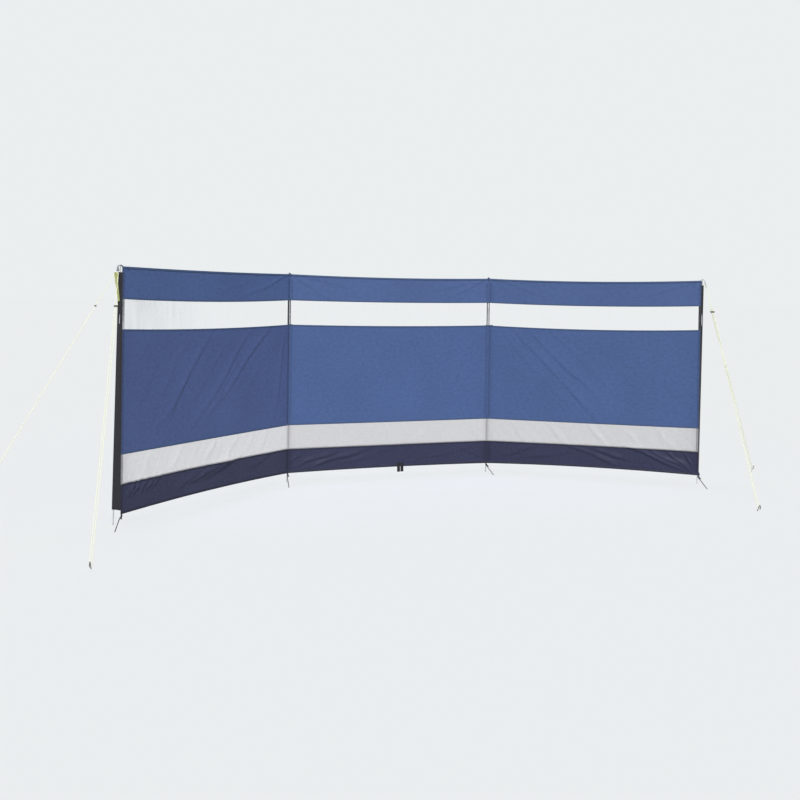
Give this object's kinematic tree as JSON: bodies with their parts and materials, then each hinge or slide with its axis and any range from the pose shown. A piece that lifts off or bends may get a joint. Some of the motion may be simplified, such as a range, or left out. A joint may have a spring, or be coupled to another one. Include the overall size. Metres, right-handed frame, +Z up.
{
  "type": "beach windbreak",
  "caption": "Beach windbreak of blue cloth bays with clear windows, a grey band and a navy skirt, held up on sleeved steel poles by guy lines and pegs.",
  "frame": {"origin": "centre of the left middle pole's foot, on the ground", "axes": "+X along the middle bay from the left middle pole to the right middle pole, -Y to the sheltered front, +Z up"},
  "size_m": [6.0628, 1.9687, 1.587],
  "materials": {
    "blue_cloth": "coated woven polyester, faint sheen",
    "window_film": "clear flexible film",
    "grey_band_cloth": "light grey woven polyester",
    "navy_cloth": "coated woven polyester, navy",
    "black_cloth": "black woven polyester",
    "black_webbing": "ribbed black webbing",
    "grey_webbing": "ribbed grey webbing",
    "steel_tube": "zinc-plated tube",
    "black_plastic": "moulded black plastic",
    "ring_steel": "plated wire",
    "lime_cord": "braided lime-yellow cord",
    "runner_plastic": "moulded black plastic",
    "peg_steel": "zinc-plated round wire"
  },
  "bodies": {
    "root": {"hem_pegs": "peg_steel", "hem_tabs": "black_webbing", "left_back_guy": "lime_cord", "left_corner_strap": "grey_webbing", "left_end_pole": "steel_tube", "left_end_pole_tip": "black_plastic", "left_end_sleeve": "black_cloth", "left_front_guy": "lime_cord", "left_guy_pegs": "peg_steel", "left_guy_ring": "ring_steel", "left_guy_runners": "runner_plastic", "left_main_panel": "blue_cloth", "left_mesh_band": "grey_band_cloth", "left_middle_pole": "steel_tube", "left_middle_pole_tip": "black_plastic", "left_middle_sleeve": "black_cloth", "left_middle_top_tab": "black_webbing", "left_skirt": "navy_cloth", "left_top_band": "blue_cloth", "left_window": "window_film", "middle_main_panel": "blue_cloth", "middle_mesh_band": "grey_band_cloth", "middle_skirt": "navy_cloth", "middle_top_band": "blue_cloth", "middle_window": "window_film", "right_back_guy": "lime_cord", "right_corner_strap": "grey_webbing", "right_end_pole": "steel_tube", "right_end_pole_tip": "black_plastic", "right_end_sleeve": "black_cloth", "right_front_guy": "lime_cord", "right_guy_pegs": "peg_steel", "right_guy_ring": "ring_steel", "right_guy_runners": "runner_plastic", "right_main_panel": "blue_cloth", "right_mesh_band": "grey_band_cloth", "right_middle_pole": "steel_tube", "right_middle_pole_tip": "black_plastic", "right_middle_sleeve": "black_cloth", "right_middle_top_tab": "black_webbing", "right_skirt": "navy_cloth", "right_top_band": "blue_cloth", "right_window": "window_film", "roll_tie": "black_webbing"}
  },
  "joints": []
}
